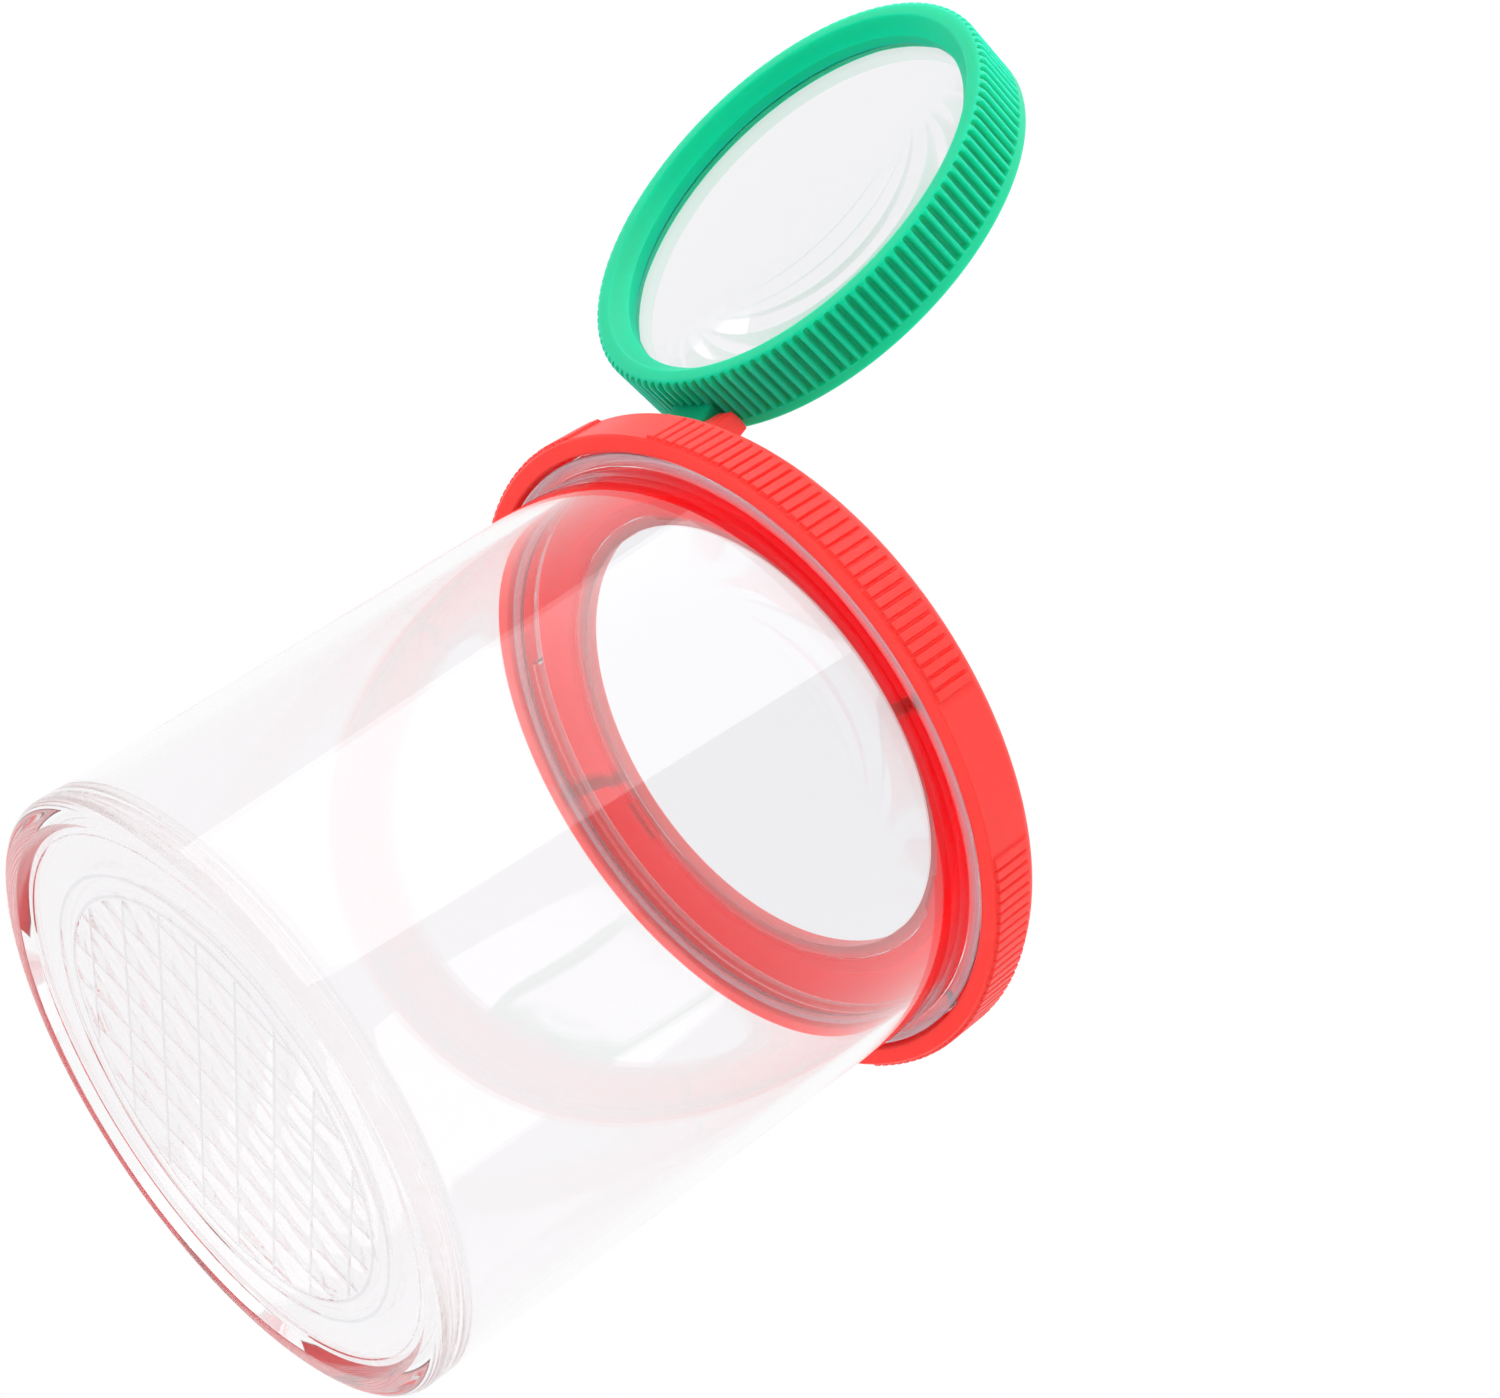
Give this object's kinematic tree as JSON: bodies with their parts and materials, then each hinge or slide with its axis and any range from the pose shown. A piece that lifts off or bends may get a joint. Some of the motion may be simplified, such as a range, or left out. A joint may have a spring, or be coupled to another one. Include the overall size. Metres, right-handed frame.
{
  "type": "bug catcher jar",
  "caption": "Clear tapered viewing jar with a measuring grid under its floor, a twist-off red lid ring holding a lens, and a green fluted flip ring with a stronger lens on a snap hinge",
  "frame": {"origin": "centre of the foot's flat ring, on the surface that the jar stands on", "axes": "+Z along the jar's axis towards the lid; the hinge of the flip ring lies at 205 degrees from +X towards +Y"},
  "size_m": [0.0934, 0.0779, 0.1173],
  "materials": {
    "clear_cup": "polished clear polystyrene",
    "clear_lens": "polished clear acrylic",
    "red_lid": "slightly translucent moulded polypropylene",
    "green_ring": "slightly translucent moulded polypropylene"
  },
  "bodies": {
    "cup": {"cup": "clear_cup"},
    "lid_seat": {"lid_lens": "clear_lens"},
    "lid": {"lid": "red_lid"},
    "flip": {"flip_ring": "green_ring", "flip_lens": "clear_lens"}
  },
  "joints": [
    {"name": "lid_lift", "type": "slide", "parent": "cup", "child": "lid_seat", "axis": [0, 0, 1], "range_m": [0, 0.02]},
    {"name": "lid_turn", "type": "hinge", "parent": "lid_seat", "child": "lid", "pos_m": [0, 0, 0.0685], "axis": [0, 0, 1], "range_deg": [-75, 0]},
    {"name": "ring_flip", "type": "hinge", "parent": "lid", "child": "flip", "pos_m": [-0.02612, -0.01218, 0.07052], "axis": [0.4226, -0.9063, 0], "range_deg": [-119.7, 28]}
  ]
}
